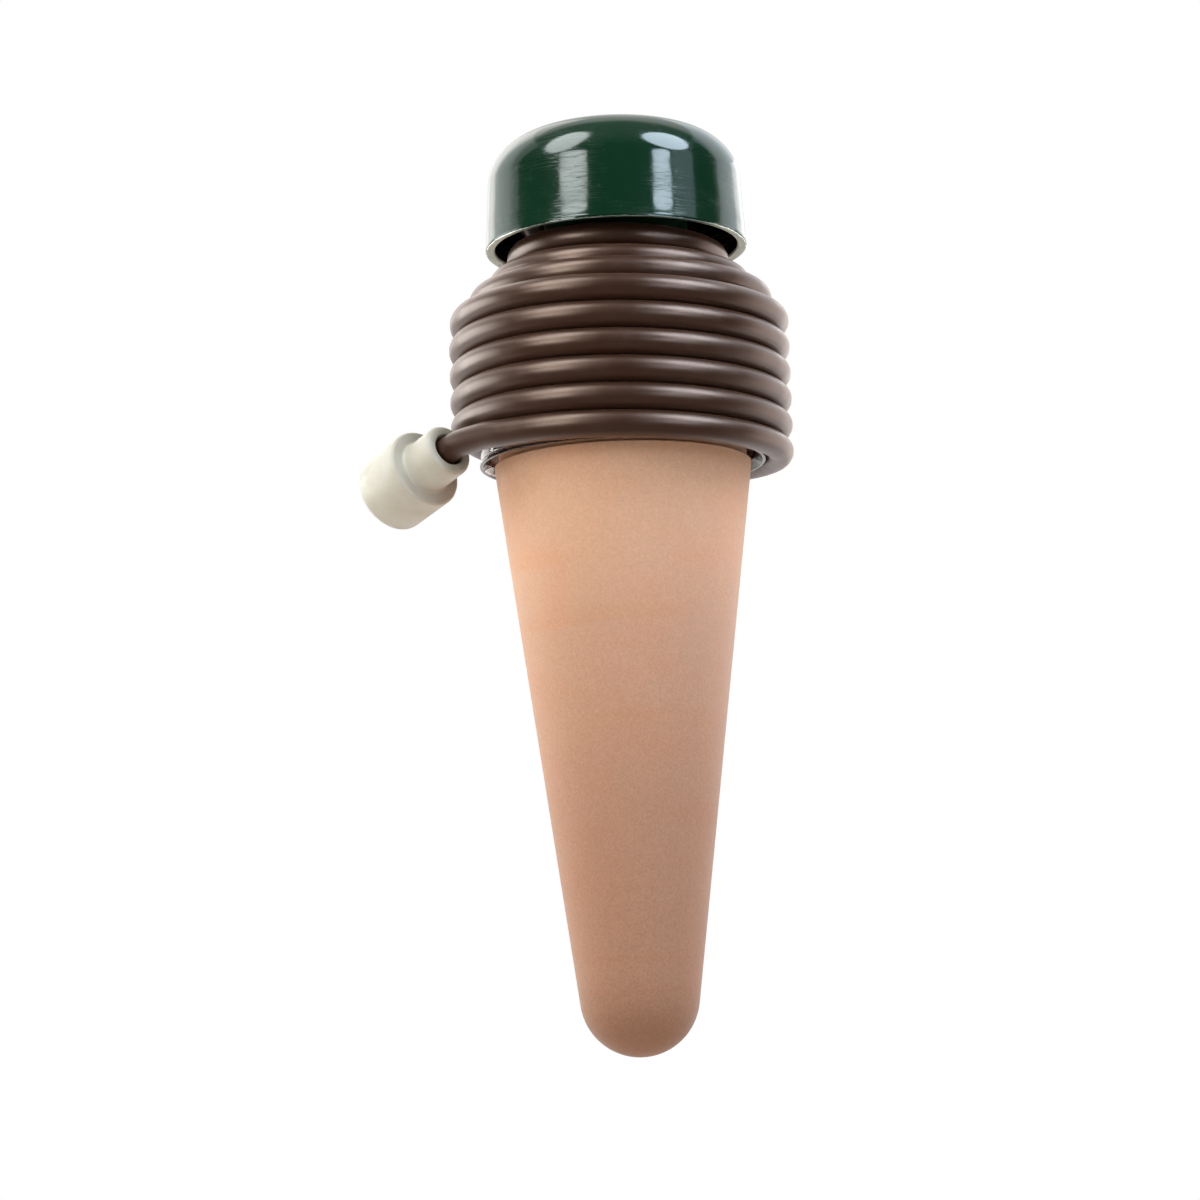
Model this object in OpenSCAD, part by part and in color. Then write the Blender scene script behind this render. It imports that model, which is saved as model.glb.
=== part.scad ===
// Self watering spike for plant pots: a porous clay cone with a clear plastic collar,
// a green screw cap, and a thin hose that lies wound round the collar and ends in a clay weight.
// Millimetres, +Z up, origin at the lowest point of the cone's tip. The hose leaves its last turn at -Y.

/* [Clay cone] */
// Height of the clay that shows below the collar
cone_h = 88; // [75:1:105]
// Radius of the clay where it enters the collar
cone_r = 19.3; // [18:0.1:21]
// Radius of the round tip
tip_r = 8.8; // [6:0.1:11]
// Thickness of the porous wall
clay_wall = 4; // [3:0.1:5]
// Step in from the cone to the spigot inside the collar
spigot_step = 0.7; // [0.4:0.1:1.2]

/* [Collar] */
// Gap between the clay and the inside of the skirt
skirt_gap = 0.8; // [0.5:0.1:1.4]
// Wall of the clear plastic
collar_wall = 1.2; // [0.9:0.1:1.6]
// Height of the straight skirt
skirt_h = 19.6; // [18:0.1:24]
// Height of the sloping shoulder
shoulder_h = 10.9; // [10:0.1:13]
// Radius of the ledge at the foot of the neck
ledge_r = 12.3; // [11.8:0.1:13]
// Thickness of the ledge
ledge_t = 1.6; // [1.2:0.1:2.2]
// Outer radius of the neck under its thread
neck_r = 8.7; // [8.2:0.1:9]
// Radius of the bore through the neck
neck_bore_r = 6.8; // [5.5:0.1:7.2]
// Height of the neck above the ledge
neck_h = 12.6; // [12:0.1:13.4]
// Number of small ribs that centre the clay in the skirt
centring_ribs = 8; // [4:1:12]
// Width of a centring rib
centring_rib_w = 1.4; // [1:0.1:2.5]
// Height of a centring rib
centring_rib_h = 3; // [2:0.1:4]

/* [Cap] */
// Outer radius of the cap at the foot of its side
cap_r = 19.75; // [19.2:0.05:21]
// How far the side leans in by its top
cap_taper = 0.55; // [0.2:0.05:1]
// How far the thin lip stands out from the side
lip_out = 0.3; // [0.1:0.05:0.6]
// Height of the thin lip
lip_h = 0.5; // [0.3:0.1:1]
// Height of the straight side
cap_side_h = 10; // [9.2:0.1:13]
// Width of the round shoulder
cap_shoulder_w = 8.7; // [6:0.1:9.4]
// Height of the round shoulder
cap_shoulder_h = 7.8; // [7:0.1:10]
// Rise of the gently domed top
cap_dome_h = 0.8; // [0.3:0.1:1.6]
// Wall of the cap
cap_wall = 1.4; // [1:0.1:1.6]
// Height of the cap's rim above the collar's ledge
cap_rim_up = 2.5; // [2.2:0.1:3.5]
// Number of stiffening ribs under the roof
roof_ribs = 6; // [3:1:8]

/* [Screw thread] */
// Rise of the thread in one turn
thread_pitch = 3; // [2.8:0.1:3.4]
// Height of the thread ridge
thread_depth = 0.8; // [0.6:0.05:0.9]
// Radial play between the two threads
thread_play = 0.35; // [0.3:0.05:0.45]
// Turns of ridge on the neck and in the cap
thread_turns = 1.25; // [1:0.125:1.5]

/* [Cap insert and seal] */
// Wall of the threaded sleeve
sleeve_wall = 1.05; // [0.9:0.05:1.2]
// Thickness of the disc over the seal
disc_t = 2.6; // [2.4:0.1:3]
// Thickness of the seal
seal_t = 1.6; // [1.2:0.1:2]
// Radius of the water duct
duct_r = 0.7; // [0.5:0.05:0.8]
// Radius of the boss that the hose butts against
port_r = 2.4; // [2.2:0.1:2.5]
// Length of the boss that the hose butts against
port_len = 2.6; // [2.2:0.1:2.8]
// Radius of the hose nipple
nipple_r = 1.2; // [1.1:0.05:1.4]
// Length of the hose nipple
nipple_len = 3.2; // [2:0.1:3.8]

/* [Hose] */
// Outside diameter of the hose
hose_d = 4; // [3.8:0.05:4.2]
// Whole turns from the neck turn down to the last one
hose_turns = 8; // [6:1:8]
// Angle past the front at which the hose leaves the last turn
leave_angle = 36; // [30:1:42]
// How much of each turn's fall lies at the back: 0 for an even spiral, 1 for a level front, and
// more for turns that lie a little higher on the side where the hose leaves
back_climb = 2.2; // [1:0.1:2.4]

/* [End weight] */
// Radius of the wide barrel
barrel_r = 5.95; // [5:0.05:7]
// Length of the wide barrel
barrel_len = 8.9; // [7:0.1:12]
// Radius of the narrow mouth piece
mouth_r = 4; // [3.6:0.05:4.6]
// Length of the narrow mouth piece
mouth_len = 6.3; // [5:0.1:8]
// Radius of the socket that takes the hose
socket_r = 2.4; // [2.3:0.05:2.8]
// Depth of the socket
socket_depth = 12; // [11.5:0.1:12.8]
// Radius of the water inlet at the far end
inlet_r = 1.2; // [0.8:0.1:1.8]
// Rounding of the weight's edges
weight_round = 0.8; // [0.4:0.1:1.1]

/* [Hidden] */
$fn = 96;

// Hair gap between pieces that are glued or pressed together
fit_gap = 0.05;
// Running clearance between pieces that move on each other
run_gap = 0.4;
// Gap between the hose and the ledge or sleeve that it goes round
lay_gap = 0.3;
// Overlap of joined shapes within one piece
bite = 0.2;
// How far a cut runs past the shape that it cuts
past = 1;

// Cone: its side is tangent to the round tip and meets the rim radius at cone_h
side_h = cone_h - tip_r;
cone_angle = acos(tip_r / norm([cone_r, side_h])) - atan2(side_h, cone_r);
spigot_r = cone_r - spigot_step;
cavity_r = cone_r - clay_wall;
cavity_tip_r = tip_r - clay_wall;
spigot_bore_r = spigot_r - clay_wall;

// Collar heights and radii, from its rim at cone_h upwards
skirt_in_r = cone_r + skirt_gap;
collar_r = skirt_in_r + collar_wall;
shoulder_z = cone_h + skirt_h;
ledge_z = shoulder_z + shoulder_h;
neck_top_z = ledge_z + neck_h;
shoulder_slope = shoulder_h / (collar_r - ledge_r);
shoulder_drop = collar_wall * sqrt(1 + shoulder_slope * shoulder_slope);
inner_corner_z = shoulder_under(skirt_in_r);
ledge_in_r = collar_r - (ledge_z - ledge_t + shoulder_drop - shoulder_z) / shoulder_slope;
cone_top_z = shoulder_under(spigot_r) - run_gap;
rib_up = 1;
bond_z = cone_h + rib_up + centring_rib_h + 0.5;
rim_bead = 0.15;
rim_bead_h = 0.5;

// Threads: the sleeve's ridge lies half a pitch below the neck's ridge
thread_r = neck_r + thread_depth;
sleeve_in_r = thread_r + thread_play;
sleeve_r = sleeve_in_r + sleeve_wall;
ridge_foot = 0.46 * thread_pitch;
ridge_crest = 0.24 * thread_pitch;
neck_ridge_z = ledge_z + 1.2 * thread_pitch;
sleeve_ridge_z = neck_ridge_z - thread_pitch / 2;
sleeve_up = 0.8;
sleeve_foot_z = ledge_z + sleeve_up;
ridge_steps = 24;

// Cap heights
cap_rim_z = ledge_z + cap_rim_up;
cap_side_top_z = cap_rim_z + cap_side_h;
cap_top_r = cap_r - cap_taper;
cap_flat_r = cap_top_r - cap_shoulder_w;
cap_edge_z = cap_side_top_z + cap_shoulder_h;
disc_z = neck_top_z + seal_t;
disc_top_z = disc_z + disc_t;
roof_z = cap_edge_z - cap_wall;
post_r = 4.5;
post_ring_wall = 1.4;
roof_rib_t = 1;
arc_steps = 12;

// Hose route: turn numbers count from the front of the neck turn, one turn to the next
hose_r = hose_d / 2;
slimmer = 0.15;
drawn_r = hose_r - slimmer;
turn_pitch = hose_d;
neck_turn_r = ledge_r + hose_r + lay_gap;
skirt_turn_r = collar_r + hose_r + run_gap;
neck_turn_z = ledge_z + hose_r / 2;
shoulder_step_r = 0.79 * turn_pitch;
shoulder_step_z = 0.65 * turn_pitch;
shoulder_turns = 2.5;
// The neck turn lies this far above the line of the turns on the shoulder
neck_lift = 0.375 * turn_pitch;
lead_r = sleeve_r + hose_r + lay_gap;
lead_from = -1;
lead_to = -0.25;
port_z = neck_top_z;
port_x = hose_d;
last_turn = hose_turns + leave_angle / 360;
rings_per_turn = 24;
coil_sides = 6;
tail_sides = 8;

// Free end of the hose, from the end of the coil, and the way the weight points
tail_offsets = [[0, 0, 0], [-3.2, 2.4, 0.1], [-8.2, 6.8, -0.8]];
weight_way = [-0.64, 0.70, -0.31];
hose_in_socket = 11;

function unit(v) = v / norm(v);
function soft_min(a, b, k) = -k * ln(exp(-a / k) + exp(-b / k));
function ease(t) = t * t * (3 - 2 * t);
function turn_angle(s) = -90 - 360 * s;
function shoulder_under(r) = shoulder_z + (collar_r - r) * shoulder_slope - shoulder_drop;
function arc(cr, cz, a, b, from, to) =
    [for (i = [0:arc_steps])
        let (t = from + (to - from) * i / arc_steps) [cr + a * cos(t), cz + b * sin(t)]];

// Radius and height of the hose's centre at turn number s
function lead_share(s) = (lead_to - s) / (lead_to - lead_from);
function fall(s) = s - back_climb * sin(360 * s) / (2 * PI);
function wound_r(s) =
    soft_min(neck_turn_r + shoulder_step_r * max(0, fall(s)), skirt_turn_r, 0.3);
function wound_z(s) =
    neck_turn_z - neck_lift * min(1, max(0, fall(s))) - shoulder_step_z * fall(s)
    - (turn_pitch - shoulder_step_z) * max(0, fall(s) - shoulder_turns);
function hose_radius(s) =
    s < lead_to
    ? wound_r(lead_to) + (lead_r - wound_r(lead_to)) * ease(lead_share(s))
    : wound_r(s);
function hose_height(s) =
    s < lead_to
    ? wound_z(lead_to) + (port_z - wound_z(lead_to)) * ease(lead_share(s))
      + shoulder_step_z * (lead_to - s) * pow(1 - lead_share(s), 2)
    : wound_z(s);
function hose_point(s) =
    [hose_radius(s) * cos(turn_angle(s)), hose_radius(s) * sin(turn_angle(s)), hose_height(s)];

coil_rings = ceil((last_turn - lead_from) * rings_per_turn);
coil_turns = [for (i = [0:coil_rings]) lead_from + (last_turn - lead_from) * i / coil_rings];
wound_path = [for (s = coil_turns) hose_point(s)];
leave_way = unit(hose_point(last_turn) - hose_point(last_turn - 0.01));
coil_end = hose_point(last_turn) + hose_d * leave_way;
coil_path = concat([[port_x, -lead_r, port_z]], wound_path, [coil_end]);
tail_way = unit(weight_way);
weight_mouth = coil_end + tail_offsets[2];
tail_path = concat([for (p = tail_offsets) coil_end + p], [weight_mouth + hose_in_socket * tail_way]);
tail_turns = [leave_way, unit(tail_path[2] - tail_path[0]), tail_way, tail_way];

// A tube of flat faces swept along a path, with its end faces square to the ways given
function path_way(path, i) =
    i == 0 ? unit(path[1] - path[0])
    : i == len(path) - 1 ? unit(path[i] - path[i - 1])
    : unit(unit(path[i + 1] - path[i]) + unit(path[i] - path[i - 1]));
function ring(centre, way, radius, sides) =
    let (side = unit(cross(way, [0, 0, 1])), up = cross(side, way))
    [for (k = [0:sides - 1])
        centre + radius * (cos(360 * k / sides) * side + sin(360 * k / sides) * up)];
function rings_of(path, ways, radius, sides) =
    [for (i = [0:len(path) - 1]) ring(path[i], ways[i], radius, sides)];
function flat_list(lists) = [for (l = lists) for (p = l) p];
function tube_faces(count, sides) =
    concat(
        [for (k = [1:sides - 2]) [0, k + 1, k]],
        [for (k = [1:sides - 2]) (count - 1) * sides * [1, 1, 1] + [0, k, k + 1]],
        [for (i = [0:count - 2]) for (k = [0:sides - 1])
            let (n = (k + 1) % sides, a = i * sides, b = (i + 1) * sides) [a + k, a + n, b + n]],
        [for (i = [0:count - 2]) for (k = [0:sides - 1])
            let (n = (k + 1) % sides, a = i * sides, b = (i + 1) * sides) [a + k, b + n, b + k]]);

coil_ways = [for (i = [0:len(coil_path) - 1]) path_way(coil_path, i)];
coil_points = rings_of(coil_path, coil_ways, drawn_r, coil_sides);
tail_points = rings_of(tail_path, tail_turns, drawn_r, tail_sides);

// Least gap of the coil to itself, measured between the points of neighbouring turns
coil_gap = min([for (i = [0:len(coil_points) - rings_per_turn - 2])
    for (j = [i + rings_per_turn - 1:min(i + rings_per_turn + 1, len(coil_points) - 1)])
        for (p = coil_points[i]) for (q = coil_points[j]) norm(p - q)]);
coil_len = [for (i = [1:len(coil_path) - 1]) norm(coil_path[i] - coil_path[i - 1])];
tail_len = [for (i = [1:len(tail_path) - 1]) norm(tail_path[i] - tail_path[i - 1])];
function total(list) = list * [for (i = list) 1];
echo("least gap between the turns of the hose", coil_gap);
echo("length of the hose", total(coil_len) + total(tail_len));
echo("end of the coil", coil_end, "mouth of the weight", weight_mouth);

// Solid cone with a round tip, of a given tip radius and rim radius, cut flat at a height
module cone_solid(tip, rim, low, top) {
    rise = low + tip;
    rotate_extrude()
        polygon(concat(
            [[0, low]],
            [for (i = [1:arc_steps])
                let (t = -90 + (90 - cone_angle) * i / arc_steps) [tip * cos(t), rise + tip * sin(t)]],
            [[rim, top], [0, top]]));
}

module clay_cone() {
    color("#d6a284")
        difference() {
            union() {
                cone_solid(tip_r, cone_r, 0, cone_h);
                translate([0, 0, cone_h - bite])
                    cylinder(r = spigot_r, h = cone_top_z - cone_h + bite);
            }
            cone_solid(cavity_tip_r, cavity_r, clay_wall, cone_h);
            translate([0, 0, cone_h - bite])
                cylinder(r = spigot_bore_r, h = cone_top_z - cone_h + past);
        }
}

// Helical ridge that stands out from a cylinder, or in from a bore when its height is negative
module thread_ridge(foot_r, height, start_z) {
    steps = ceil(thread_turns * ridge_steps);
    out = sign(height);
    ridge = [for (i = [0:steps])
        let (turn = thread_turns * 360 * i / steps,
             z = start_z + thread_pitch * thread_turns * i / steps,
             tall = height * min(1, min(i, steps - i) / 3 + 0.1))
        [for (p = [[-out * bite, -ridge_foot / 2], [tall, -ridge_crest / 2],
                   [tall, ridge_crest / 2], [-out * bite, ridge_foot / 2]])
            [(foot_r + p[0]) * cos(turn), (foot_r + p[0]) * sin(turn), z + p[1]]]];
    faces = tube_faces(steps + 1, 4);
    polyhedron(flat_list(ridge), out > 0 ? faces : [for (f = faces) [f[0], f[2], f[1]]]);
}

module collar() {
    color("#dfe6e8", 0.45)
        union() {
            rotate_extrude()
                polygon([[skirt_in_r, cone_h], [collar_r + rim_bead, cone_h],
                         [collar_r + rim_bead, cone_h + rim_bead_h],
                         [collar_r, cone_h + rim_bead_h + 2 * rim_bead],
                         [collar_r, shoulder_z], [ledge_r, ledge_z],
                         [neck_r, ledge_z], [neck_r, neck_top_z], [neck_bore_r, neck_top_z],
                         [neck_bore_r, ledge_z - ledge_t], [ledge_in_r, ledge_z - ledge_t],
                         [skirt_in_r, inner_corner_z]]);
            thread_ridge(neck_r, thread_depth, neck_ridge_z);
            for (i = [0:centring_ribs - 1])
                rotate(360 * (i + 0.5) / centring_ribs)
                    translate([spigot_r + fit_gap, -centring_rib_w / 2, cone_h + rib_up])
                        cube([skirt_in_r - spigot_r - fit_gap + bite, centring_rib_w, centring_rib_h]);
        }
}

module bond_ring() {
    color("#cfc8bb")
        translate([0, 0, bond_z])
            difference() {
                cylinder(r = skirt_in_r - fit_gap, h = inner_corner_z - bond_z);
                translate([0, 0, -past])
                    cylinder(r = spigot_r + fit_gap, h = inner_corner_z - bond_z + 2 * past);
            }
}

module seal_ring() {
    color("#3a3a3a")
        translate([0, 0, neck_top_z])
            difference() {
                cylinder(r = sleeve_in_r - run_gap - thread_depth / 2, h = seal_t);
                translate([0, 0, -past])
                    cylinder(r = neck_bore_r - run_gap, h = seal_t + 2 * past);
            }
}

module cap_shell() {
    color("#1d4a30")
        difference() {
            union() {
                rotate_extrude()
                    difference() {
                        polygon(concat(
                            [[0, cap_rim_z], [cap_r + lip_out, cap_rim_z],
                             [cap_r + lip_out, cap_rim_z + lip_h], [cap_r, cap_rim_z + 2 * lip_h]],
                            arc(cap_flat_r, cap_side_top_z, cap_shoulder_w, cap_shoulder_h, 0, 90),
                            [[0.7 * cap_flat_r, cap_edge_z + 0.5 * cap_dome_h],
                             [0.4 * cap_flat_r, cap_edge_z + 0.85 * cap_dome_h],
                             [0, cap_edge_z + cap_dome_h]]));
                        polygon(concat(
                            [[-past, cap_rim_z - past], [cap_r - cap_wall, cap_rim_z - past],
                             [cap_r - cap_wall, cap_rim_z]],
                            arc(cap_flat_r, cap_side_top_z, cap_shoulder_w - cap_wall,
                                cap_shoulder_h - cap_wall, 0, 90),
                            [[-past, roof_z]]));
                    }
                translate([0, 0, disc_top_z])
                    cylinder(r = post_r + post_ring_wall, h = roof_z - disc_top_z + bite);
                for (i = [0:roof_ribs - 1])
                    rotate(360 * i / roof_ribs)
                        translate([post_r + bite, -roof_rib_t / 2, disc_top_z])
                            cube([sleeve_r - post_r - bite, roof_rib_t, roof_z - disc_top_z + bite]);
            }
            translate([0, 0, disc_top_z - past])
                cylinder(r = post_r + fit_gap, h = roof_z - disc_top_z + past);
        }
}

module cap_insert() {
    duct_z = disc_z + disc_t / 2;
    duct_x = port_x + port_len / 2;
    color("#27603f")
        union() {
            difference() {
                union() {
                    translate([0, 0, sleeve_foot_z])
                        cylinder(r = sleeve_r, h = disc_top_z - sleeve_foot_z);
                    translate([0, 0, disc_top_z - bite])
                        cylinder(r = post_r, h = roof_z - disc_top_z);
                    translate([port_x, -lead_r, port_z])
                        rotate([0, 90, 0])
                            cylinder(r = port_r, h = port_len);
                    translate([duct_x, -lead_r, port_z])
                        cylinder(r = port_len / 2, h = disc_top_z - port_z);
                    translate([port_x, -lead_r, port_z])
                        cube([port_len, lead_r - sleeve_in_r + past, disc_top_z - port_z]);
                    translate([port_x + bite, -lead_r, port_z])
                        rotate([0, -90, 0])
                            cylinder(r = nipple_r, h = nipple_len + bite);
                }
                translate([0, 0, sleeve_foot_z - past])
                    cylinder(r = sleeve_in_r, h = disc_z - sleeve_foot_z + past);
                translate([0, 0, disc_z - past])
                    cylinder(r = duct_x, h = disc_t / 2 + past + duct_r);
                translate([duct_x, -lead_r, duct_z])
                    rotate([-90, 0, 0])
                        cylinder(r = duct_r, h = lead_r);
                translate([duct_x, -lead_r, port_z])
                    cylinder(r = duct_r, h = duct_z - port_z + duct_r);
                translate([duct_x, -lead_r, port_z])
                    rotate([0, -90, 0])
                        cylinder(r = duct_r, h = port_len + nipple_len);
            }
            thread_ridge(sleeve_in_r, -thread_depth, sleeve_ridge_z);
        }
}

module hose_coil() {
    color("#4a342a")
        polyhedron(flat_list(coil_points), tube_faces(len(coil_points), coil_sides));
}

module hose_tail() {
    color("#4a342a")
        polyhedron(flat_list(tail_points), tube_faces(len(tail_points), tail_sides));
}

module end_weight() {
    whole = mouth_len + barrel_len;
    e = weight_round;
    color("#e6dccb")
        translate(weight_mouth)
            rotate([0, acos(tail_way[2]), atan2(tail_way[1], tail_way[0])])
                rotate_extrude()
                    difference() {
                        polygon(concat(
                            [[0, 0]],
                            arc(mouth_r - e, e, e, e, -90, 0),
                            arc(mouth_r + e / 2, mouth_len - e / 2, e / 2, e / 2, 180, 90),
                            arc(barrel_r - e, mouth_len + e, e, e, -90, 0),
                            arc(barrel_r - e, whole - e, e, e, 0, 90),
                            [[0, whole]]));
                        polygon([[-past, -past], [socket_r, -past], [socket_r, socket_depth],
                                 [inlet_r, socket_depth + socket_r - inlet_r],
                                 [inlet_r, whole + past], [-past, whole + past]]);
                    }
}

clay_cone();
collar();
bond_ring();
seal_ring();
cap_shell();
cap_insert();
hose_coil();
hose_tail();
end_weight();
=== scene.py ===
"""Self watering spike for a plant pot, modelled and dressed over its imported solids.

A porous clay cone hangs in a clear collar under a green screw cap. A thin hose leaves the cap,
lies wound round the collar and ends in a stepped ivory weight. Everything is in metres in the
part's own frame: +Z up, with the origin at the lowest point of the clay tip.
"""

import logging
import math
from dataclasses import dataclass
from enum import Enum
from typing import Any, Callable, Mapping, Optional, Sequence, Union

import bmesh
import bpy
from mathutils import Matrix, Vector

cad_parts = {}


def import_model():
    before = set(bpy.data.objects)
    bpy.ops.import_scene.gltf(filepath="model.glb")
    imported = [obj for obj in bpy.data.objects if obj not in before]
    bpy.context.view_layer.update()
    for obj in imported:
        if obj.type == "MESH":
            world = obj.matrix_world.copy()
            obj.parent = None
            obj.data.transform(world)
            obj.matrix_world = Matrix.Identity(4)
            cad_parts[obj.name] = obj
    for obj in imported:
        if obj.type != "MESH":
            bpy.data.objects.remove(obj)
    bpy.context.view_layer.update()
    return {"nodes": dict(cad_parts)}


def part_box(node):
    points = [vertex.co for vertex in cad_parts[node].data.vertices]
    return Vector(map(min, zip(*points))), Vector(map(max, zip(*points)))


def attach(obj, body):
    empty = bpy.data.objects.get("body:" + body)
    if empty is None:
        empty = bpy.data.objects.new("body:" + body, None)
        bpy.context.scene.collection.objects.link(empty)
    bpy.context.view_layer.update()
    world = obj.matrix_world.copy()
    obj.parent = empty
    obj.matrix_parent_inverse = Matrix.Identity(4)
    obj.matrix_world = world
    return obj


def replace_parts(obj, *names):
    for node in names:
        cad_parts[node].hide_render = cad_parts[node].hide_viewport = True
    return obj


LOG = logging.getLogger("watering_spike")
MM = 0.001
FULL_TURN = 2 * math.pi
ALONG = "along"
WRAP = "wrap"
WELD = 0.002 * MM
ON_AXIS = 0.01 * MM
SOFT_EDGE = 0.15 * MM
Rgb = tuple[float, float, float]
Feed = Union["Signal", float, Sequence[float]]
Skin = bmesh.types.BMesh
Vert = bmesh.types.BMVert
Edge = bmesh.types.BMEdge


class Body(Enum):
    """The bodies that the pieces ride on."""

    SPIKE = "spike"
    CAP = "cap"
    WEIGHT = "weight"


class Space(Enum):
    """Where a pattern gets its coordinates from."""

    OBJECT = "Object"
    WRAP = "UV"


def operator(operation: str, swapped: bool = False) -> Callable[["Signal", Feed], "Signal"]:
    """Makes an operator of Signal out of a Math node's operation.

    Args:
        operation: What the Math node does.
        swapped: Whether the other value comes first, as in a reflected operator.

    Returns:
        The method, which adds the node and gives its output.
    """
    def method(self: "Signal", other: Feed) -> "Signal":
        """Adds the Math node."""
        first, second = (other, self) if swapped else (self, other)
        return self.graph.node("ShaderNodeMath", {"operation": operation}, {0: first, 1: second})
    return method


class Signal:
    """An output socket that takes part in Python arithmetic."""

    __add__ = operator("ADD")
    __radd__ = operator("ADD", swapped=True)
    __sub__ = operator("SUBTRACT")
    __rsub__ = operator("SUBTRACT", swapped=True)
    __mul__ = operator("MULTIPLY")
    __rmul__ = operator("MULTIPLY", swapped=True)
    __truediv__ = operator("DIVIDE")
    __pow__ = operator("POWER")
    at_least = operator("MAXIMUM")

    def __init__(self, graph: "Graph", socket: bpy.types.NodeSocket) -> None:
        """Keeps the socket and the graph that new nodes go to."""
        self.graph = graph
        self.socket = socket


class Graph:
    """The node tree of one material or of the world."""

    def __init__(self, owner: Union[bpy.types.Material, bpy.types.World]) -> None:
        """Empties the owner's node tree, to build it anew."""
        owner.use_nodes = True
        self.tree = owner.node_tree
        self.tree.nodes.clear()

    def node(self, kind: str, settings: Mapping[str, Any], sockets: Mapping[Union[str, int], Feed],
             output: Union[str, int] = 0) -> Signal:
        """Adds a node, sets it up and feeds its sockets.

        Args:
            kind: The node's type.
            settings: The node's own properties, set before its sockets. "stops" fills a ramp.
            sockets: A value or a signal for each input socket, by name or number.
            output: The output socket that the signal stands for.

        Returns:
            The signal of the chosen output.
        """
        made = self.tree.nodes.new(kind)
        for name, value in settings.items():
            if name == "stops":
                self._fill_ramp(made, value)
            else:
                setattr(made, name, value)
        for name, value in sockets.items():
            self.feed(made.inputs[name], value)
        return Signal(self, made.outputs[output])

    def feed(self, socket: bpy.types.NodeSocket, value: Feed) -> None:
        """Links a signal to a socket, or sets the socket's own value."""
        if isinstance(value, Signal):
            self.tree.links.new(value.socket, socket)
        else:
            socket.default_value = value

    @staticmethod
    def _fill_ramp(ramp: bpy.types.Node, stops: Sequence[tuple[float, Rgb]]) -> None:
        """Gives a colour ramp its stops."""
        elements = ramp.color_ramp.elements
        while len(elements) < len(stops):
            elements.new(1.0)
        for element, (place, colour) in zip(elements, stops):
            element.position = place
            element.color = (*colour, 1.0)

    def place(self, space: Space, scale: Sequence[float] = (1, 1, 1),
              turn: Sequence[float] = (0, 0, 0)) -> Signal:
        """Gives pattern coordinates, turned and stretched by a Mapping node."""
        source = self.node("ShaderNodeTexCoord", {}, {}, space.value)
        return self.node("ShaderNodeMapping", {"vector_type": "POINT"}, {
            "Vector": source, "Rotation": turn, "Scale": scale})

    def parts(self, vector: Signal) -> tuple[Signal, Signal, Signal]:
        """Splits a vector into its X, Y and Z."""
        split = self.node("ShaderNodeSeparateXYZ", {}, {0: vector})
        return tuple(Signal(self, split.socket.node.outputs[axis]) for axis in "XYZ")

    def noise(self, where: Signal, grain: float, detail: float = 2.0,
              roughness: float = 0.5, warp: float = 0.0) -> Signal:
        """Gives soft noise from 0 to 1 whose features are about one grain wide."""
        return self.node("ShaderNodeTexNoise", {"noise_dimensions": "3D"}, {
            "Vector": where, "Scale": 1 / grain, "Detail": detail, "Roughness": roughness,
            "Distortion": warp}, "Fac")

    def streaks(self, across: float, along: float, detail: float = 2.0,
                roughness: float = 0.5, turn: float = 0.0) -> Signal:
        """Gives noise on the piece's own map, with a grain for each of the map's two ways."""
        where = self.place(Space.WRAP, (1 / across, 1 / along, 1), (0, 0, turn))
        return self.noise(where, 1.0, detail, roughness)

    def specks(self, where: Signal, grain: float, core: float, rim: float) -> Signal:
        """Gives 1 from a cell's middle out to core and 0 beyond rim, in one cell of about eight."""
        near = self.node("ShaderNodeTexVoronoi", {"feature": "F1"}, {
            "Vector": where, "Scale": 1 / grain}, "Distance")
        colour = Signal(self, near.socket.node.outputs["Color"])
        chance = self.node("ShaderNodeSeparateColor", {}, {0: colour})
        return self.step(near, core, rim, 1.0, 0.0) * self.step(chance, 0.86, 0.90)

    def ray(self, kind: str) -> Signal:
        """Gives 1 for rays of one kind, such as Camera, and 0 for all others."""
        return self.node("ShaderNodeLightPath", {}, {}, f"Is {kind} Ray")

    def step(self, value: Signal, low: float, high: float,
             start: float = 0.0, end: float = 1.0) -> Signal:
        """Goes smoothly from start to end while value goes from low to high."""
        return self.node("ShaderNodeMapRange", {"interpolation_type": "SMOOTHSTEP"}, {
            "Value": value, "From Min": low, "From Max": high, "To Min": start, "To Max": end})

    def mix(self, share: Feed, first: Feed, second: Feed, way: str = "MIX") -> Signal:
        """Mixes two colours, where share 0 is the first one."""
        return self.node("ShaderNodeMix", {"data_type": "RGBA", "blend_type": way},
                         {0: share, 6: padded(first), 7: padded(second)}, 2)

    def ramp(self, value: Signal, stops: Sequence[tuple[float, Rgb]]) -> Signal:
        """Looks a number up in a ramp of colours."""
        return self.node("ShaderNodeValToRGB", {"stops": stops}, {0: value}, "Color")

    def bump(self, height: Signal, depth: float, strength: float = 1.0,
             under: Optional[Signal] = None) -> Signal:
        """Turns a height from 0 to 1 into normals, for a relief of the given depth."""
        sockets = {"Height": height, "Distance": depth, "Strength": strength}
        if under is not None:
            sockets["Normal"] = under
        return self.node("ShaderNodeBump", {}, sockets, "Normal")

    def finish_with(self, sockets: Mapping[str, Feed]) -> None:
        """Ends the tree in one Principled BSDF."""
        coat = self.node("ShaderNodeBsdfPrincipled", {}, sockets, "BSDF")
        self.node_out(coat)

    def node_out(self, surface: Signal, kind: str = "ShaderNodeOutputMaterial") -> None:
        """Adds the output node."""
        end = self.tree.nodes.new(kind)
        self.feed(end.inputs["Surface"], surface)


def padded(value: Feed) -> Feed:
    """Gives a plain colour its alpha, and passes a signal on."""
    return value if isinstance(value, Signal) or len(value) == 4 else (*value, 1.0)


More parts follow.
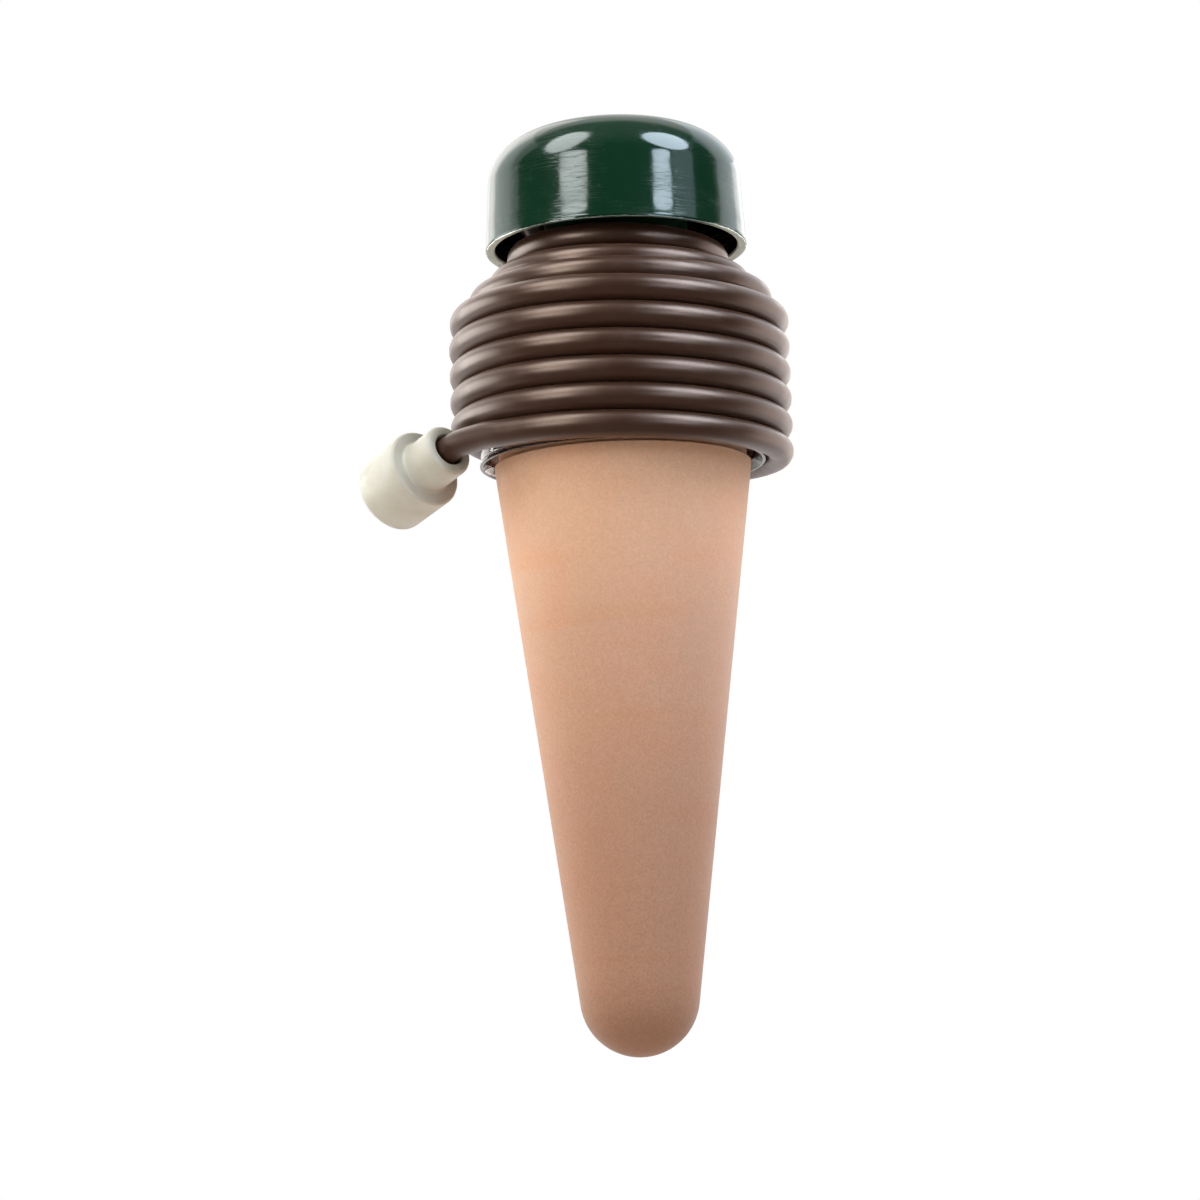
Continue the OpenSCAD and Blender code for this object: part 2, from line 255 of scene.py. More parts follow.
@dataclass(frozen=True)
class Finish:
    """A surface finish, made once and shared by the pieces that wear it."""

    name: str
    slot: str

    def dress(self, graph: Graph, where: Signal) -> None:
        """Builds the finish's nodes on coordinates in metres."""
        raise NotImplementedError

    def material(self) -> bpy.types.Material:
        """Gives the finish's material, and makes it at the first call."""
        made = bpy.data.materials.get(self.name)
        if made is None:
            made = bpy.data.materials.new(self.name)
            graph = Graph(made)
            self.dress(graph, graph.place(Space.OBJECT))
        return made


@dataclass(frozen=True)
class FiredClay(Finish):
    """Unglazed porous terracotta, lighter at the rim and darker towards the tip: partly the clay's
    own deeper tone low down, partly painted light at the top under the hose's shadow and painted
    shade as the light falls off downwards.
    """

    name: str = "fired_clay"
    slot: str = "terracotta"
    # From rim to tip these colours hold painted light at the top and painted shade lower down,
    # besides the clay's own deeper tone.
    rim: Rgb = (0.580, 0.328, 0.212)
    upper: Rgb = (0.450, 0.243, 0.158)
    middle: Rgb = (0.350, 0.180, 0.114)
    lower: Rgb = (0.315, 0.158, 0.098)
    tip: Rgb = (0.235, 0.110, 0.064)
    blush: Rgb = (1.0, 0.95, 0.92)
    level: Rgb = (1.0, 0.91, 0.80)
    soil: Rgb = (0.33, 0.17, 0.11)
    height: float = 88 * MM
    grain: float = 0.34 * MM
    grit: float = 0.9 * MM
    relief: float = 0.05 * MM

    def dress(self, graph: Graph, where: Signal) -> None:
        """Builds fine grain, blotches, faint level bands, specks and the height ramp with its
        painted light and shade.
        """
        height = graph.parts(where)[2]
        fine = graph.noise(where, self.grain, 3.0, 0.6)
        coarse = graph.noise(where, self.grit, 2.0, 0.5)
        blotch = graph.noise(where, 13 * MM, 3.0, 0.55, 0.4)
        band = graph.noise(graph.place(Space.OBJECT, (0.10, 0.10, 1)), 4 * MM, 2.0, 0.5)
        speck = graph.specks(where, 0.8 * MM, 0.08, 0.20)
        # Painted light and shade: the colour ramps from light at the rim to dark at the tip.
        share = (height + (blotch - 0.5) * (7 * MM)) / self.height
        body = graph.ramp(share, [(0.03, self.tip), (0.13, self.lower), (0.40, self.middle),
                                  (0.70, self.upper), (0.93, self.rim)])
        warm = graph.mix(graph.step(blotch, 0.42, 0.66), body, self.blush, "MULTIPLY")
        banded = graph.mix(graph.step(band, 0.52, 0.72, 0.0, 0.5), warm, self.level, "MULTIPLY")
        depth = graph.step(height, 0.0, self.height, 0.34, 0.20)
        shade = (fine - 0.5) * depth * 2.0 + 1.0 + (coarse - 0.5) * 0.12
        grainy = graph.mix(1.0, banded, shade, "MULTIPLY")
        colour = graph.mix(speck * 0.22, grainy, self.soil)
        relief = fine * 0.65 + coarse * 0.35 - speck * 0.25
        graph.finish_with({
            "Base Color": colour, "Roughness": 0.86 + (fine - 0.5) * 0.2,
            "Specular IOR Level": 0.25, "Sheen Weight": 0.16, "Sheen Roughness": 0.5,
            "Normal": graph.bump(relief, self.relief)})


@dataclass(frozen=True)
class GreenMoulding(Finish):
    """Glossy dark green plastic with handling scuffs and a pale cut edge, partly painted light, and
    painted highlights on the rings inside its mouth.
    """

    name: str = "green_moulding"
    slot: str = "green_plastic"
    colour: Rgb = (0.0034, 0.0215, 0.0090)
    deep: Rgb = (0.0022, 0.0150, 0.0066)
    # The cut lip's pale colour: partly the moulding's own pale flash, partly painted light.
    edge: Rgb = (0.98, 1.0, 0.86)
    # Painted highlight colour for the level rings inside the mouth.
    painted_ring_glint: Rgb = (0.26, 0.28, 0.24)
    dust: Rgb = (0.30, 0.36, 0.33)
    rim_height: float = 121 * MM
    mouth_radius: float = 18.35 * MM
    gloss: float = 0.085
    lip_width: float = 1.3 * MM
    lip_rise: float = 0.45 * MM
    band: tuple[float, float] = (0.13 * MM, 0.26 * MM)
    soft: float = 0.05 * MM
    scratches: tuple[tuple[float, ...], ...] = (
        (0.0, 6 * MM, 0.16 * MM, 0.8), (0.9, 4 * MM, 0.12 * MM, 0.6),
        (-0.7, 4 * MM, 0.12 * MM, 0.6))

    def scratched(self, graph: Graph) -> Signal:
        """Gives thin straight marks: each set has its angle, length, width and strength."""
        made: Feed = 0.0
        for turn, length, width, strength in self.scratches:
            lines = graph.streaks(length, width, 2.0, 0.6, turn)
            made = graph.step(lines, 0.60, 0.74, 0.0, strength).at_least(made)
        return made

    def lip(self, graph: Graph, radius: Signal, height: Signal) -> Signal:
        """Gives where the cut lip is: its lower face and a ragged band above it."""
        ragged = graph.streaks(0.9 * MM, math.inf, 3.0, 0.7)
        top = graph.step(ragged, 0.35, 0.70, *self.band) + self.rim_height
        inner = graph.step(radius, self.mouth_radius, self.mouth_radius + self.lip_width,
                           self.lip_rise, 0.0)
        low = graph.step(height - top - inner, -0.6 * self.soft, 0.6 * self.soft, 1.0, 0.0)
        out = graph.step(radius, self.mouth_radius - self.soft, self.mouth_radius + self.soft)
        streak = graph.streaks(0.35 * MM, math.inf, 1.0)
        return low * out * graph.step(streak, 0.26, 0.44, 0.6, 1.0)

    def cutter_glints(self, graph: Graph, radius: Signal, height: Signal) -> Signal:
        """Gives where the painted highlights lie: pale lines on the fine level rings inside the
        mouth.
        """
        inside = graph.step(radius, self.mouth_radius - 2 * self.soft, self.mouth_radius, 1.0, 0.0)
        low = graph.step(height - self.rim_height, 10 * MM, 11 * MM, 1.0, 0.0)
        rings = graph.streaks(20 * MM, 0.4 * MM, 1.0)
        return inside * low * graph.step(rings, 0.50, 0.62, 0.05, 0.8)

    def dress(self, graph: Graph, where: Signal) -> None:
        """Builds the moulded colour, the wear, the slow waviness, the pale lip with its painted
        light and the painted highlights inside the mouth.
        """
        across, away, height = graph.parts(where)
        radius = (across * across + away * away) ** 0.5
        worn = graph.step(graph.noise(where, 7 * MM, 3.0, 0.6, 0.5), 0.38, 0.66)
        haze = graph.step(graph.streaks(14 * MM, 0.09 * MM, 2.0, 0.6), 0.50, 0.70)
        marks = self.scratched(graph) * (worn * 0.75 + 0.25)
        dust = graph.step(graph.noise(where, 0.5 * MM, 2.0, 0.5), 0.60, 0.80) * worn
        cut = self.lip(graph, radius, height)
        plain = graph.mix(graph.noise(where, 9 * MM, 2.0), self.deep, self.colour)
        dusty = graph.mix(dust * 0.05 + marks * 0.04, plain, self.dust)
        # Painted highlights: pale lines on the dark inner wall of the mouth.
        lined = graph.mix(self.cutter_glints(graph, radius, height), dusty, self.painted_ring_glint)
        # Painted light on the lip: dim at the front and bright at the sides, where light catches
        # it.
        painted_side_light = graph.step(away, -15.5 * MM, -10.5 * MM, 0.095, 0.95)
        colour = graph.mix(cut * painted_side_light, lined, self.edge)
        wave = graph.bump(graph.noise(where, 6 * MM, 1.0, 0.4), 0.055 * MM)
        fine = graph.bump(marks * -1.0, 0.004 * MM, 1.0, wave)
        graph.finish_with({
            "Base Color": colour, "Specular IOR Level": 0.5, "IOR": 1.52, "Normal": fine,
            "Roughness": self.gloss + marks * 0.14 + worn * 0.03 + cut * 0.35,
            "Coat Weight": haze * worn * 0.45 + 0.02, "Coat Roughness": 0.36, "Coat IOR": 1.5})


@dataclass(frozen=True)
class ClearMoulding(Finish):
    """Clear moulded plastic of the collar, a little hazy from handling."""

    name: str = "clear_moulding"
    slot: str = "clear_plastic"
    tint: Rgb = (0.90, 0.76, 0.69)
    haze_tint: Rgb = (0.80, 0.62, 0.54)
    # Brown tint near the foot: painted shade and painted reflection of the wound hose.
    shaded: Rgb = (0.46, 0.29, 0.23)
    gleam: Rgb = (1.0, 0.80, 0.72)
    foot: float = 88 * MM

    def dress(self, graph: Graph, where: Signal) -> None:
        """Builds the clear body, its haze, its faint flow marks and a brown tint near the foot,
        painted shade and painted reflection of the hose.
        """
        haze = graph.noise(where, 2.5 * MM, 3.0, 0.6, 0.3)
        flow = graph.noise(graph.place(Space.OBJECT, (1, 1, 0.2)), 4 * MM, 2.0)
        clear = graph.mix(haze, self.tint, self.haze_tint)
        height = graph.parts(where)[2] - self.foot
        # Painted shade and reflection: the clear body turns brown near the foot.
        near_foot = graph.step(height, 2 * MM, 4 * MM, 0.8, 0.0)
        graph.finish_with({
            "Base Color": graph.mix(near_foot, clear, self.shaded),
            "Roughness": graph.step(haze, 0.45, 0.75, 0.05, 0.16),
            "Transmission Weight": 0.96, "IOR": 1.49, "Specular Tint": (*self.gleam, 1.0),
            "Normal": graph.bump(flow, 0.02 * MM)})


@dataclass(frozen=True)
class HoseRubber(Finish):
    """Dark brown flexible hose with a satin skin and a slight bloom, duller low down: rougher
    there, with the bloom painted dimmer as painted shade.
    """

    name: str = "hose_rubber_skin"
    slot: str = "hose_rubber"
    colour: Rgb = (0.0260, 0.0088, 0.0038)
    deep: Rgb = (0.0190, 0.0062, 0.0028)
    bloom: Rgb = (0.15, 0.100, 0.075)
    sheen: Rgb = (1.0, 0.55, 0.38)
    gleam: Rgb = (1.0, 0.70, 0.58)

    def dress(self, graph: Graph, where: Signal) -> None:
        """Builds the drawn streaks along the hose, the bloom, painted shade that dims the bloom low
        down, and the fine skin.
        """
        streak = graph.streaks(0.5 * MM, 26 * MM)
        patch = graph.noise(where, 6 * MM, 3.0, 0.6, 0.5)
        skin = graph.noise(where, 0.35 * MM, 2.0, 0.5)
        bloom = graph.step(patch, 0.45, 0.78) * graph.step(skin, 0.35, 0.7)
        # Painted shade: less bloom on the lower turns, where less light falls.
        low = graph.step(graph.parts(where)[2], 92 * MM, 108 * MM, 1.0, 0.0)
        plain = graph.mix(streak, self.deep, self.colour)
        rough = graph.step(patch, 0.3, 0.7, 0.30, 0.38) + (skin - 0.5) * 0.015
        graph.finish_with({
            "Base Color": graph.mix(bloom * (0.10 - low * 0.06), plain, self.bloom),
            "Roughness": rough + low * 0.03,
            "Sheen Weight": 0.12, "Sheen Roughness": 0.4, "Sheen Tint": (*self.sheen, 1.0),
            "Specular IOR Level": 0.5, "IOR": 1.70, "Specular Tint": (*self.gleam, 1.0),
            "Normal": graph.bump(skin * 0.5 + streak * 0.5, 0.003 * MM)})


@dataclass(frozen=True)
class IvoryMoulding(Finish):
    """Smooth ivory body of the weight, faintly mottled and soiled."""

    name: str = "ivory_moulding"
    slot: str = "weight_ceramic"
    colour: Rgb = (0.430, 0.388, 0.330)
    warm: Rgb = (0.400, 0.345, 0.280)
    soil: Rgb = (0.42, 0.33, 0.24)

    def dress(self, graph: Graph, where: Signal) -> None:
        """Builds the mottled body colour, small soil specks and a satin skin."""
        mottle = graph.noise(where, 3.5 * MM, 3.0, 0.55, 0.3)
        skin = graph.noise(where, 0.4 * MM, 2.0, 0.5)
        speck = graph.specks(where, 1.2 * MM, 0.07, 0.16)
        plain = graph.mix(graph.step(mottle, 0.35, 0.75), self.colour, self.warm)
        grainy = graph.mix(1.0, plain, skin * 0.06 + 0.97, "MULTIPLY")
        graph.finish_with({
            "Base Color": graph.mix(speck * 0.30, grainy, self.soil),
            "Roughness": graph.step(mottle, 0.3, 0.7, 0.40, 0.52),
            "Specular IOR Level": 0.45,
            "Normal": graph.bump(skin, 0.012 * MM)})


@dataclass(frozen=True)
class InnerMoulding(Finish):
    """Finish of the hidden inner pieces: one colour with moulding grain."""

    name: str
    slot: str
    colour: Rgb
    shade: Rgb
    roughness: float
    grain: float
    relief: float

    def dress(self, graph: Graph, where: Signal) -> None:
        """Builds a body colour that varies with a fine and a coarse grain."""
        fine = graph.noise(where, self.grain, 3.0, 0.6)
        broad = graph.noise(where, 6 * MM, 2.0, 0.5, 0.3)
        graph.finish_with({
            "Base Color": graph.mix(fine * 0.6 + broad * 0.4, self.colour, self.shade),
            "Roughness": self.roughness + (fine - 0.5) * 0.15,
            "Normal": graph.bump(fine, self.relief)})


@dataclass(frozen=True)
class Corner:
    """One point of an outline, with the reach of its rounding along both sides."""

    radius: float
    height: float
    rounding: float = 0.0


def only(kind: type, geometry: Sequence[Any]) -> list[Any]:
    """Gives the elements of one kind out of what a mesh operator returned."""
    return [part for part in geometry if isinstance(part, kind)]


def edges_of(verts: Sequence[Vert]) -> list[Edge]:
    """Gives the edges at some vertices, each one once and in a steady order."""
    return list(dict.fromkeys(edge for vert in verts for edge in vert.link_edges))


def added(name: str, data: bpy.types.ID) -> bpy.types.Object:
    """Makes an object at the origin and puts it into the scene."""
    made = bpy.data.objects.new(name, data)
    bpy.context.scene.collection.objects.link(made)
    return made


def chain_of(skin: Skin, outline: Sequence[Corner], closed: bool) -> None:
    """Draws an outline as a chain of edges, rounds its corners and measures along it.

    Args:
        skin: The empty mesh that the chain goes to.
        outline: The corners in order.
        closed: Whether the last corner joins the first one.
    """
    along = skin.verts.layers.float.new(ALONG)
    corners = [skin.verts.new((c.radius, 0, c.height)) for c in outline]
    for near, far in zip(corners, corners[1:]):
        skin.edges.new((near, far))
    if closed:
        skin.edges.new((corners[-1], corners[0]))
    for vert, corner in zip(corners, outline):
        if corner.rounding > 0:
            bmesh.ops.bevel(skin, geom=[vert], offset=corner.rounding, offset_type="OFFSET",
                            segments=5, profile=0.5, material=-1, affect="VERTICES")
    vert = min(skin.verts, key=lambda v: len(v.link_edges))
    edge = vert.link_edges[0]
    length = 0.0
    for _ in range(len(skin.verts) - 1):
        vert[along] = length
        length += edge.calc_length()
        vert = edge.other_vert(vert)
        edge = next((e for e in vert.link_edges if e is not edge), edge)
    vert[along] = length


def turned(outline: Sequence[Corner], steps: int, closed: bool = False) -> Skin:
    """Turns an outline about the vertical axis.

    Args:
        outline: The corners in order, from the axis or as a closed ring.
        steps: How many slices make the full turn.
        closed: Whether the outline is a ring that stays off the axis.

    Returns:
        The closed skin, with its faces outwards and its poles merged.
    """
    skin = bmesh.new()
    chain_of(skin, outline, closed)
    bmesh.ops.spin(skin, geom=skin.verts[:] + skin.edges[:], cent=(0, 0, 0), axis=(0, 0, 1),
                   angle=FULL_TURN, steps=steps, use_merge=True)
    bmesh.ops.remove_doubles(skin, verts=skin.verts[:], dist=WELD)
    bmesh.ops.recalc_face_normals(skin, faces=skin.faces[:])
    wrap_round(skin)
    return skin


def wrap_round(skin: Skin) -> None:
    """Lays a map round the vertical axis: the ways round and along the outline, in metres."""
    along = skin.verts.layers.float[ALONG]
    wrap = skin.loops.layers.uv.new(WRAP)
    girth = max(vert.co.xy.length for vert in skin.verts)
    for face in skin.faces:
        middle = face.calc_center_median()
        facing = math.atan2(middle.x, -middle.y)
        for loop in face.loops:
            spot = loop.vert.co
            turn = facing if spot.xy.length < ON_AXIS else math.atan2(spot.x, -spot.y)
            turn += FULL_TURN * round((facing - turn) / FULL_TURN)
            loop[wrap].uv = (turn * girth, loop.vert[along])


def piece_of(name: str, skin: Skin, finish: Finish, body: Body,
             crease: float = 38.0) -> bpy.types.Object:
    """Makes a finished mesh into a piece that rides on a body.

    Args:
        name: The piece's name.
        skin: The mesh, in the part's frame.
        finish: What the piece wears.
        body: What the piece rides on.
        crease: Edges sharper than this many degrees stay crisp.

    Returns:
        The piece's object, at the origin.
    """
    mesh = bpy.data.meshes.new(name)
    for face in skin.faces:
        face.smooth = True
    skin.to_mesh(mesh)
    skin.free()
    mesh.set_sharp_from_angle(angle=math.radians(crease))
    made = added(name, mesh)
    mesh.materials.append(finish.material())
    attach(made, body.value)
    LOG.info("%s: %d faces on %s", name, len(mesh.polygons), body.value)
    return made


def add_block(skin: Skin, turn: float, reach: tuple[float, float],
              rise: tuple[float, float], thickness: float) -> None:
    """Adds an upright block with soft edges that stands out from the vertical axis.

    Args:
        skin: The mesh that the block joins.
        turn: Its bearing about the axis.
        reach: The radii where it starts and ends.
        rise: The heights where it starts and ends.
        thickness: Its width across.
    """
    size = (reach[1] - reach[0], thickness, rise[1] - rise[0], 1)
    place = (Matrix.Rotation(turn, 4, "Z")
             @ Matrix.Translation((sum(reach) / 2, 0, sum(rise) / 2)) @ Matrix.Diagonal(size))
    made = bmesh.ops.create_cube(skin, size=1, matrix=place)["verts"]
    bmesh.ops.bevel(skin, geom=edges_of(made), offset=SOFT_EDGE, offset_type="OFFSET",
                    segments=2, profile=0.5, material=-1, affect="EDGES")


@dataclass
class HoseRoute:
    """The way that the hose lies: from its port, wound down the collar, and out to the weight."""

    diameter: float = 4.0 * MM
    ledge_height: float = 118.5 * MM
    neck_turn_radius: float = 14.6 * MM
    skirt_turn_radius: float = 23.7 * MM
    step_out: float = 3.16 * MM
    step_down: float = 2.6 * MM
    neck_lift: float = 1.5 * MM
    blend: float = 0.3 * MM
    shoulder_turns: float = 2.5
    back_climb: float = 2.2
    lead_radius: float = 13.2 * MM
    lead_from: float = -1.0
    lead_to: float = -0.25
    last_turn: float = 8.1
    port: Vector = Vector((4.0 * MM, -13.2 * MM, 131.1 * MM))
    free_end: tuple[Rgb, ...] = ((-3.2 * MM, 2.4 * MM, 0.1 * MM), (-8.2 * MM, 6.8 * MM, -0.8 * MM))
    weight_way: Vector = Vector((-0.64, 0.70, -0.31)).normalized()
    depth_in_socket: float = 11 * MM
    rings_per_turn: int = 60
    rings_per_bend: int = 8
    look_back: float = 0.01

    def fall(self, turns: float) -> float:
        """Gives how far the hose has come down, in turns: mostly at the back of each one."""
        return turns - self.back_climb * math.sin(FULL_TURN * turns) / FULL_TURN

    def wound_radius(self, turns: float) -> float:
        """Gives the radius of the winding, out along the shoulder and then down the skirt."""
        sloping = self.neck_turn_radius + self.step_out * max(0.0, self.fall(turns))
        inner = math.exp(-sloping / self.blend) + math.exp(-self.skirt_turn_radius / self.blend)
        return -self.blend * math.log(inner)

    def wound_height(self, turns: float) -> float:
        """Gives the height of the winding."""
        fallen = self.fall(turns)
        extra = (self.diameter - self.step_down) * max(0.0, fallen - self.shoulder_turns)
        extra += self.neck_lift * min(1.0, max(0.0, fallen))
        return self.ledge_height + self.diameter / 4 - self.step_down * fallen - extra

    def at(self, turns: float) -> Vector:
        """Gives the hose's middle at a turn number, counted from the front of the neck turn."""
        radius = self.wound_radius(turns)
        height = self.wound_height(turns)
        if turns < self.lead_to:
            share = (self.lead_to - turns) / (self.lead_to - self.lead_from)
            eased = share * share * (3 - 2 * share)
            radius = self.wound_radius(self.lead_to)
            radius += (self.lead_radius - radius) * eased
            height = self.wound_height(self.lead_to)
            height += (self.port.z - height) * eased
            height += self.step_down * (self.lead_to - turns) * (1 - share) ** 2
        angle = -FULL_TURN * (0.25 + turns)
        return Vector((radius * math.cos(angle), radius * math.sin(angle), height))

    def leave_way(self) -> Vector:
        """Gives the way the hose runs where it leaves its last turn."""
        return (self.at(self.last_turn) - self.at(self.last_turn - self.look_back)).normalized()

    def coil_end(self) -> Vector:
        """Gives the end of the wound part."""
        return self.at(self.last_turn) + self.diameter * self.leave_way()

    def mouth(self) -> Vector:
        """Gives the place where the hose enters the weight."""
        return self.coil_end() + Vector(self.free_end[-1])

    def points(self) -> list[Vector]:
        """Gives the whole centreline, from the port to the hose's end inside the weight."""
        count = math.ceil((self.last_turn - self.lead_from) * self.rings_per_turn)
        span = self.last_turn - self.lead_from
        wound = [self.at(self.lead_from + span * i / count) for i in range(count + 1)]
        end = self.coil_end()
        knots = [end] + [end + Vector(offset) for offset in self.free_end]
        ways = [self.leave_way(), (knots[2] - knots[0]).normalized(), self.weight_way]
        bend = []
        for near, far, way_in, way_out in zip(knots, knots[1:], ways, ways[1:]):
            bend += curved(near, far, way_in, way_out, self.rings_per_bend)
        inside = knots[-1] + self.depth_in_socket * self.weight_way
        return [self.port] + wound + bend + [knots[-1], inside]


def curved(near: Vector, far: Vector, way_in: Vector, way_out: Vector, count: int) -> list[Vector]:
    """Gives points on the smooth curve between two knots, without the far one."""
    reach = (far - near).length
    made = []
    for i in range(count):
        t = i / count
        start = (2 * t ** 3 - 3 * t ** 2 + 1) * near + (t ** 3 - 2 * t ** 2 + t) * reach * way_in
        end = (3 * t ** 2 - 2 * t ** 3) * far + (t ** 3 - t ** 2) * reach * way_out
        made.append(start + end)
    return made


@dataclass
class Hose:
    """The thin brown hose, one tube from the cap's port into the weight."""

    route: HoseRoute
    radius: float = 1.98 * MM
    sides: int = 28

    def frames(self, path: Sequence[Vector]) -> list[Matrix]:
        """Gives the place and turn of the tube's section at each point of the path."""
        made = []
        for i, spot in enumerate(path):
            way = (path[min(i + 1, len(path) - 1)] - path[max(i - 1, 0)]).normalized()
            side = way.cross(Vector((0, 0, 1))).normalized()
            turn = Matrix((side, side.cross(way), way)).transposed().to_4x4()
            made.append(Matrix.Translation(spot) @ turn)
        return made

    def build(self, weight: bpy.types.Object) -> bpy.types.Object:
        path = self.route.points()
        places = self.frames(path)
        skin = bmesh.new()
        wrap = skin.loops.layers.uv.new(WRAP)
        rings = [bmesh.ops.create_circle(skin, cap_ends=True, segments=self.sides,
                                         radius=self.radius, matrix=places[0])["verts"]]
        edges = edges_of(rings[0])
        for before, after in zip(places, places[1:]):
            grown = bmesh.ops.extrude_edge_only(skin, edges=edges)["geom"]
            rings.append(only(Vert, grown))
            edges = only(Edge, grown)
            bmesh.ops.transform(skin, matrix=after @ before.inverted(), verts=rings[-1])
        bmesh.ops.contextual_create(skin, geom=edges)
        bmesh.ops.recalc_face_normals(skin, faces=skin.faces[:])
        self.wrap_along(rings, places, path, wrap)
        made = piece_of("hose", skin, HoseRubber(), Body.CAP, crease=60.0)
        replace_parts(made, "hose_coil", "hose_tail")
        length = sum((b - a).length for a, b in zip(path, path[1:]))
        LOG.info("hose: %.3f m along its middle", length)
        return made

    def wrap_along(self, rings: Sequence[Sequence[Vert]], places: Sequence[Matrix],
                   path: Sequence[Vector], wrap: bmesh.types.BMLayerItem) -> None:
        """Lays a map on the tube: the way round it and the way along it, in metres."""
        spots: dict[Vert, tuple[float, float]] = {}
        run = 0.0
        for i, ring in enumerate(rings):
            run += (path[i] - path[i - 1]).length if i else 0.0
            back = places[i].inverted()
            for vert in ring:
                local = back @ vert.co
                spots[vert] = (math.atan2(local.y, local.x), run)
        for vert in spots:
            for loop in vert.link_loops:
                first = spots[loop.face.loops[0].vert][0]
                turn, along = spots[vert]
                turn += FULL_TURN * round((first - turn) / FULL_TURN)
                loop[wrap].uv = (turn * self.radius, along)


@dataclass
class EndWeight:
    """The stepped ivory weight that holds the hose's end under water."""

    route: HoseRoute
    barrel_radius: float = 5.95 * MM
    barrel_length: float = 9.2 * MM
    mouth_radius: float = 4.0 * MM
    mouth_length: float = 6.0 * MM
    step_flare: float = 0.15 * MM
    socket_radius: float = 2.4 * MM
    socket_depth: float = 12.0 * MM
    inlet_radius: float = 1.2 * MM
    rounding: float = 0.95 * MM
    fillet: float = 0.5 * MM
    steps: int = 128

    def build(self) -> bpy.types.Object:
        """Turns the stepped body with its socket, and lays it along the hose's way."""
        whole = self.mouth_length + self.barrel_length
        taper = self.socket_radius - self.inlet_radius
        skin = turned([
            Corner(self.inlet_radius, whole, 0.2 * MM),
            Corner(self.barrel_radius, whole, self.rounding),
            Corner(self.barrel_radius + self.step_flare, self.mouth_length, self.rounding * 0.5),
            Corner(self.mouth_radius, self.mouth_length, self.fillet),
            Corner(self.mouth_radius, 0.0, self.rounding * 0.8),
            Corner(self.socket_radius, 0.0, 0.35 * MM),
            Corner(self.socket_radius, self.socket_depth),
            Corner(self.inlet_radius, self.socket_depth + taper)],
            self.steps, closed=True)
        turn = Vector((0, 0, 1)).rotation_difference(self.route.weight_way).to_matrix().to_4x4()
        bmesh.ops.transform(skin, matrix=Matrix.Translation(self.route.mouth()) @ turn,
                            verts=skin.verts[:])
        made = piece_of("weight_shell", skin, IvoryMoulding(), Body.WEIGHT)
        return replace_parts(made, "end_weight")


@dataclass
class ClayCone:
    """The hollow porous cone with its round tip and the spigot that sits in the collar."""

    height: float = 88 * MM
    rim_radius: float = 19.3 * MM
    tip_radius: float = 8.8 * MM
    wall: float = 4 * MM
    spigot_step: float = 0.7 * MM
    tip_steps: int = 20
    side_steps: int = 12
    steps: int = 224

    def skirt_of(self, tip: float, rim: float, low: float) -> list[Corner]:
        """Gives the outline of a round tip and the straight side that leaves it smoothly."""
        rise = self.height - low - tip
        lean = math.acos(tip / math.hypot(rim, rise)) - math.atan2(rise, rim)
        bends = [-math.pi / 2 + (math.pi / 2 - lean) * i / self.tip_steps
                 for i in range(self.tip_steps + 1)]
        arc = [Corner(max(0.0, tip * math.cos(t)), low + tip + tip * math.sin(t)) for t in bends]
        side = [Corner(arc[-1].radius + (rim - arc[-1].radius) * i / self.side_steps,
                       arc[-1].height + (self.height - arc[-1].height) * i / self.side_steps)
                for i in range(1, self.side_steps)]
        return arc + side

    def build(self) -> bpy.types.Object:
        """Turns the outer side, the spigot and the hollow inside as one skin."""
        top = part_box("clay_cone")[1].z
        spigot = self.rim_radius - self.spigot_step
        outer = self.skirt_of(self.tip_radius, self.rim_radius, 0.0)
        inner = self.skirt_of(self.tip_radius - self.wall, self.rim_radius - self.wall, self.wall)
        skin = turned([
            *outer, Corner(self.rim_radius, self.height, 0.25 * MM),
            Corner(spigot, self.height, 0.15 * MM), Corner(spigot, top, 0.4 * MM),
            Corner(spigot - self.wall, top, 0.4 * MM), Corner(spigot - self.wall, self.height),
            *reversed(inner)], self.steps)
        made = piece_of("clay_body", skin, FiredClay(), Body.SPIKE)
        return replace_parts(made, "clay_cone")


